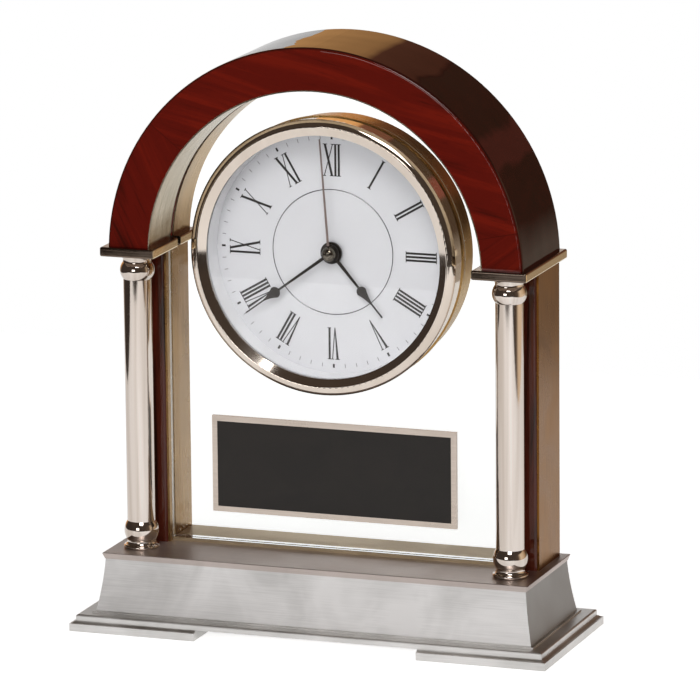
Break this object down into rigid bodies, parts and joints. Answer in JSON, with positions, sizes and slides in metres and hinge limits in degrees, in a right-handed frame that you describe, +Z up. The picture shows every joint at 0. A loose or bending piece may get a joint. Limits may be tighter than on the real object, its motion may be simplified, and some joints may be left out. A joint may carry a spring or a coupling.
{
  "type": "mantel clock",
  "caption": "Arched presentation mantel clock: a quartz clock head in a glass panel, framed by a wooden arch on columns and legs over a metal base.",
  "frame": {"origin": "on the table, under the middle of the clock's footprint", "axes": "+X to the right as seen from the front, -Y out of the dial towards the viewer, +Z up"},
  "size_m": [0.19, 0.072, 0.2271],
  "materials": {
    "mahogany": "glossy lacquer, dark red-brown",
    "champagne_metal": "satin, pale champagne",
    "silver_metal": "satin anodised",
    "brushed_aluminium": "finely brushed",
    "polished_chrome": "mirror polished",
    "clear_glass": "clear, ground edges",
    "crystal_glass": "clear, flat",
    "plate_frame": "bright, fine",
    "plate_field": "satin near-black",
    "adhesive": "matte foam tape",
    "felt": "matte",
    "steel": "zinc plated",
    "dial_paint": "matte silver grey",
    "white_plastic": "matte white",
    "carrier_plastic": "matte",
    "gasket_rubber": "matte",
    "drum_metal": "satin gilt",
    "case_plastic": "matte black",
    "brass": "plain",
    "gear_plastic": "matte, off-white",
    "gear_plastic_dark": "matte, dark",
    "magnet": "matte",
    "copper": "enamelled wire",
    "circuit": "solder resist",
    "cell_jacket": "gloss, unprinted",
    "hand_paint": "satin near-black",
    "second_hand_paint": "polished",
    "knob_plastic": "matte black",
    "hardboard": "plain board"
  },
  "bodies": {
    "clock": {"base_body": "brushed_aluminium", "base_moulding": "brushed_aluminium", "base_top_plate": "brushed_aluminium", "base_cover": "hardboard", "foot_left": "brushed_aluminium", "foot_right": "brushed_aluminium", "foot_pads": "felt", "base_screws": "steel", "tie_rods": "steel", "tie_rod_nuts": "steel", "leg_screws": "steel", "column_base_left": "polished_chrome", "column_base_right": "polished_chrome", "column_shaft_left": "polished_chrome", "column_shaft_right": "polished_chrome", "column_capital_left": "polished_chrome", "column_capital_right": "polished_chrome", "leg_post_left": "mahogany", "leg_post_right": "mahogany", "leg_outer_plate_left": "champagne_metal", "leg_outer_plate_right": "champagne_metal", "leg_inner_plate_left": "champagne_metal", "leg_inner_plate_right": "champagne_metal", "ledge_left": "silver_metal", "ledge_right": "silver_metal", "arch": "mahogany", "arch_lining_front": "silver_metal", "arch_lining_rear": "champagne_metal", "sill": "champagne_metal", "glass_panel": "clear_glass", "presentation_plate": "plate_frame", "presentation_field": "plate_field", "presentation_pad": "adhesive", "bezel": "polished_chrome", "crystal": "crystal_glass", "reflector_ring": "white_plastic", "dial": "dial_paint", "dial_carrier": "carrier_plastic", "drum": "drum_metal", "head_gasket": "gasket_rubber", "movement_plate": "case_plastic", "movement_case": "case_plastic", "bush_nut": "brass", "circuit_board": "circuit", "motor_stator": "steel", "motor_coil": "copper", "cell_contacts": "steel"},
    "second_arbor": {"second_wheel": "gear_plastic_dark", "second_hand": "second_hand_paint"},
    "minute_arbor": {"minute_wheel": "gear_plastic", "minute_hand": "hand_paint"},
    "hour_arbor": {"hour_wheel": "gear_plastic_dark", "hour_hand": "hand_paint"},
    "third_arbor": {"third_wheel": "gear_plastic"},
    "motion_arbor": {"motion_wheel": "gear_plastic"},
    "intermediate_arbor": {"intermediate_wheel": "gear_plastic"},
    "rotor_arbor": {"rotor": "magnet"},
    "set_arbor": {"set_knob": "knob_plastic"},
    "dry_cell": {"cell": "cell_jacket"}
  },
  "joints": [
    {"name": "second_spin", "type": "hinge", "parent": "clock", "child": "second_arbor", "pos_m": [0, 0.0063, 0.1459], "axis": [0, 1, 0], "continuous": true},
    {"name": "minute_spin", "type": "hinge", "parent": "clock", "child": "minute_arbor", "pos_m": [0, 0.0063, 0.1459], "axis": [0, 1, 0], "continuous": true},
    {"name": "hour_spin", "type": "hinge", "parent": "clock", "child": "hour_arbor", "pos_m": [0, 0.0063, 0.1459], "axis": [0, 1, 0], "continuous": true},
    {"name": "third_spin", "type": "hinge", "parent": "clock", "child": "third_arbor", "pos_m": [-0.00736, 0.0063, 0.15015], "axis": [0, 1, 0], "continuous": true},
    {"name": "motion_spin", "type": "hinge", "parent": "clock", "child": "motion_arbor", "pos_m": [0.00624, 0.0063, 0.1495], "axis": [0, 1, 0], "continuous": true},
    {"name": "intermediate_spin", "type": "hinge", "parent": "clock", "child": "intermediate_arbor", "pos_m": [0, 0.0063, 0.1544], "axis": [0, 1, 0], "continuous": true},
    {"name": "rotor_spin", "type": "hinge", "parent": "clock", "child": "rotor_arbor", "pos_m": [0, 0.0063, 0.1594], "axis": [0, 1, 0], "continuous": true},
    {"name": "set_spin", "type": "hinge", "parent": "clock", "child": "set_arbor", "pos_m": [0.01247, 0.0063, 0.1531], "axis": [0, 1, 0], "continuous": true},
    {"name": "cell_slide", "type": "slide", "parent": "clock", "child": "dry_cell", "axis": [0, 1, 0], "range_m": [0, 0.02]}
  ],
  "couplings": [
    {"joint": "third_spin", "follows": "second_spin", "ratio": -0.13333},
    {"joint": "minute_spin", "follows": "second_spin", "ratio": 0.016667},
    {"joint": "motion_spin", "follows": "second_spin", "ratio": -0.0055556},
    {"joint": "hour_spin", "follows": "second_spin", "ratio": 0.0013889},
    {"joint": "set_spin", "follows": "second_spin", "ratio": 0.016667},
    {"joint": "intermediate_spin", "follows": "second_spin", "ratio": -7.5},
    {"joint": "rotor_spin", "follows": "second_spin", "ratio": 30}
  ]
}
